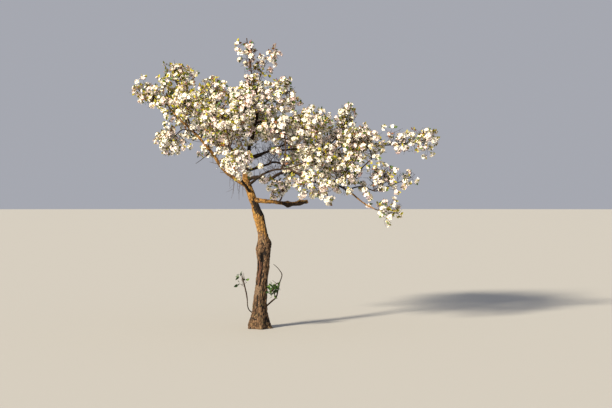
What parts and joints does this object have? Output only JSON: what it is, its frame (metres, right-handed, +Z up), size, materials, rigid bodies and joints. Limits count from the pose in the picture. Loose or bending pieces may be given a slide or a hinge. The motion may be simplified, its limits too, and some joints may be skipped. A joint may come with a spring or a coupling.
{
  "type": "cherry blossom tree",
  "caption": "Low, crooked, spreading orchard tree in full white and pale pink blossom, with a leaning trunk and a long low crown that reaches to one side.",
  "frame": {"origin": "middle of the flat cut under the trunk, at ground level", "axes": "+Z up along the trunk; -Y is the open front that the picture shows; +X to the right of that view, towards the longer side of the crown"},
  "size_m": [3.8607, 2.4187, 3.626],
  "materials": {
    "bark": "rough scaly grey-brown bark with cracks and small loose plates",
    "bark_golden": "the same bark in a warmer, orange-brown tone",
    "blossom": "soft matt petals, white with a faint pink tinge, that let a little light through",
    "blossom_leafy": "white petals among young yellow-green leaves",
    "foot_leaf": "dark green leaves with a low sheen",
    "leaf": "young yellow-green and olive leaves with a low sheen",
    "bud": "matt deep pink buds on green stalks",
    "twig": "smooth dark brown twig bark"
  },
  "bodies": {
    "root": {"back_bough": "bark", "back_centre_mass": "blossom", "back_far_right_mass": "blossom", "back_left_bough": "bark", "back_left_mass": "blossom", "back_right_bough": "bark", "back_right_high_mass": "blossom", "back_right_low_mass": "blossom", "centre_right_mass": "blossom", "droop_mass": "blossom", "drooping_branch": "bark", "far_right_bough": "bark", "foot_left_mass": "foot_leaf", "foot_right_mass": "foot_leaf", "foot_shoot_left": "bark", "foot_shoot_right": "bark", "front_centre_mass": "blossom", "front_left_bough": "bark", "front_left_mass": "blossom", "front_left_upper_mass": "blossom", "front_right_bough": "bark", "front_right_mass": "blossom", "hanging_mass": "blossom", "high_far_right_mass": "blossom", "high_right_bough": "bark", "high_right_mass": "blossom", "leader": "bark", "left_back_mass": "blossom_leafy", "left_bough": "bark_golden", "left_front_mass": "blossom_leafy", "left_inner_branch": "bark", "left_inner_mass": "blossom", "left_low_branch": "bark", "left_low_mass": "blossom", "left_shoulder_branch": "bark", "left_shoulder_mass": "blossom_leafy", "left_snag": "bark", "left_tip_mass": "blossom", "left_top_branch": "bark", "left_top_mass": "blossom_leafy", "low_bough": "bark_golden", "low_middle_mass": "blossom_leafy", "outer_low_mass": "blossom", "outer_right_branch": "bark", "outer_thin_mass": "blossom_leafy", "right_bough": "bark", "right_mid_mass": "blossom", "right_tip_mass": "blossom", "right_under_mass": "blossom", "rising_branch": "bark", "spire_mass": "blossom_leafy", "spire_shoot": "bark", "spire_side_mass": "blossom", "top_back_mass": "blossom", "top_front_mass": "blossom", "top_right_mass": "blossom", "trunk": "bark", "upper_right_bough": "bark"}
  },
  "joints": []
}
